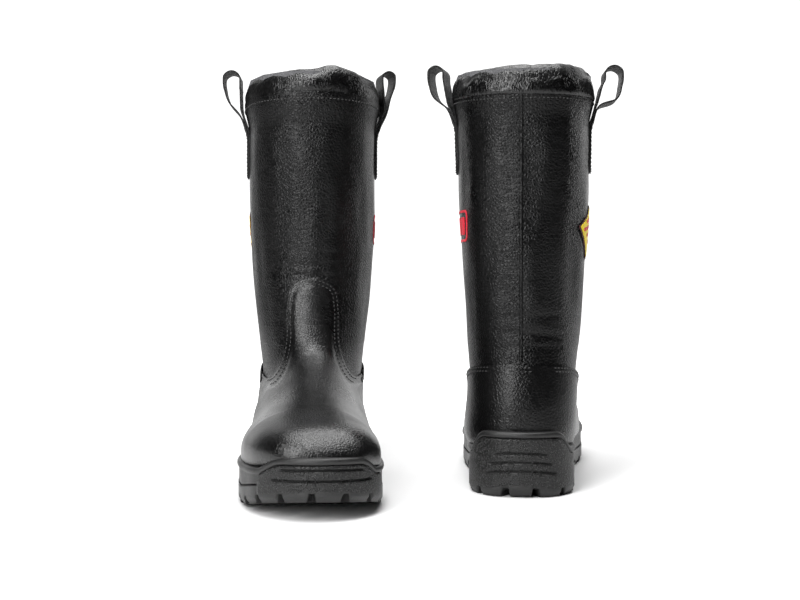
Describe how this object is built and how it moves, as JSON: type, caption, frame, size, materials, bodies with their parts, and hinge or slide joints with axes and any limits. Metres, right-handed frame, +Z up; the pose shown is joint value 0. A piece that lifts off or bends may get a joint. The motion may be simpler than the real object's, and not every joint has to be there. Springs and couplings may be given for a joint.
{
  "type": "pair of fire boots",
  "caption": "Pair of black pull-on leather fire boots with padded collars, side pull loops, steel toe caps and lugged rubber soles.",
  "frame": {"origin": "on the floor under the middle of the pair's bounding box", "axes": "+Z up; the right boot's toe points towards -Y and the left boot's toe towards +Y, each turned a few degrees, with the right boot on the -X side"},
  "size_m": [0.3234, 0.3918, 0.334],
  "materials": {
    "leather": "black pebbled leather, semi-gloss",
    "lining": "matt knitted lining",
    "foam": "open-cell foam",
    "rubber": "black rubber, stippled and smooth",
    "midsole": "black polyurethane, satin",
    "webbing": "black strap, matt",
    "steel": "plain steel",
    "board": "pressed fibre board",
    "stiffener": "moulded thermoplastic sheet",
    "badge": "satin moulded badge",
    "mark": "satin printed film"
  },
  "bodies": {
    "right_boot": {"right_back_seam_welt": "leather", "right_badge": "badge", "right_collar_cover": "leather", "right_collar_foam": "foam", "right_footbed": "lining", "right_heel_patch": "leather", "right_heel_stiffener": "stiffener", "right_inner_strap_tab": "webbing", "right_insole_board": "board", "right_leg_leather": "leather", "right_lining": "lining", "right_midsole": "midsole", "right_outer_strap_tab": "webbing", "right_outsole": "rubber", "right_puncture_plate": "steel", "right_shank": "steel", "right_side_mark": "mark", "right_steel_toe_cap": "steel", "right_toe_cap_edge_strip": "foam", "right_vamp": "leather", "right_vamp_interlining": "lining"},
    "left_boot": {"left_back_seam_welt": "leather", "left_badge": "badge", "left_collar_cover": "leather", "left_collar_foam": "foam", "left_footbed": "lining", "left_heel_patch": "leather", "left_heel_stiffener": "stiffener", "left_inner_strap_tab": "webbing", "left_insole_board": "board", "left_leg_leather": "leather", "left_lining": "lining", "left_midsole": "midsole", "left_outer_strap_tab": "webbing", "left_outsole": "rubber", "left_puncture_plate": "steel", "left_shank": "steel", "left_side_mark": "mark", "left_steel_toe_cap": "steel", "left_toe_cap_edge_strip": "foam", "left_vamp": "leather", "left_vamp_interlining": "lining"},
    "right_outer_loop": {"right_outer_pull_loop": "webbing"},
    "right_inner_loop": {"right_inner_pull_loop": "webbing"},
    "left_outer_loop": {"left_outer_pull_loop": "webbing"},
    "left_inner_loop": {"left_inner_pull_loop": "webbing"}
  },
  "joints": [
    {"name": "left_boot_lift", "type": "slide", "parent": "right_boot", "child": "left_boot", "axis": [0, 0, 1], "range_m": [0, 0.4]},
    {"name": "right_outer_loop_fold", "type": "hinge", "parent": "right_boot", "child": "right_outer_loop", "pos_m": [-0.14399, 0.02303, 0.288], "axis": [0.0715, -0.9974, 0], "range_deg": [0, 120], "stiffness_Nm_per_rad": 0.05},
    {"name": "right_inner_loop_fold", "type": "hinge", "parent": "right_boot", "child": "right_inner_loop", "pos_m": [-0.02927, 0.03125, 0.288], "axis": [-0.0715, 0.9974, 0], "range_deg": [0, 120], "stiffness_Nm_per_rad": 0.05},
    {"name": "left_outer_loop_fold", "type": "hinge", "parent": "left_boot", "child": "left_outer_loop", "pos_m": [0.02927, -0.01905, 0.288], "axis": [-0.1184, -0.993, 0], "range_deg": [0, 120], "stiffness_Nm_per_rad": 0.05},
    {"name": "left_inner_loop_fold", "type": "hinge", "parent": "left_boot", "child": "left_inner_loop", "pos_m": [0.14348, -0.03267, 0.288], "axis": [0.1184, 0.993, 0], "range_deg": [0, 120], "stiffness_Nm_per_rad": 0.05}
  ]
}
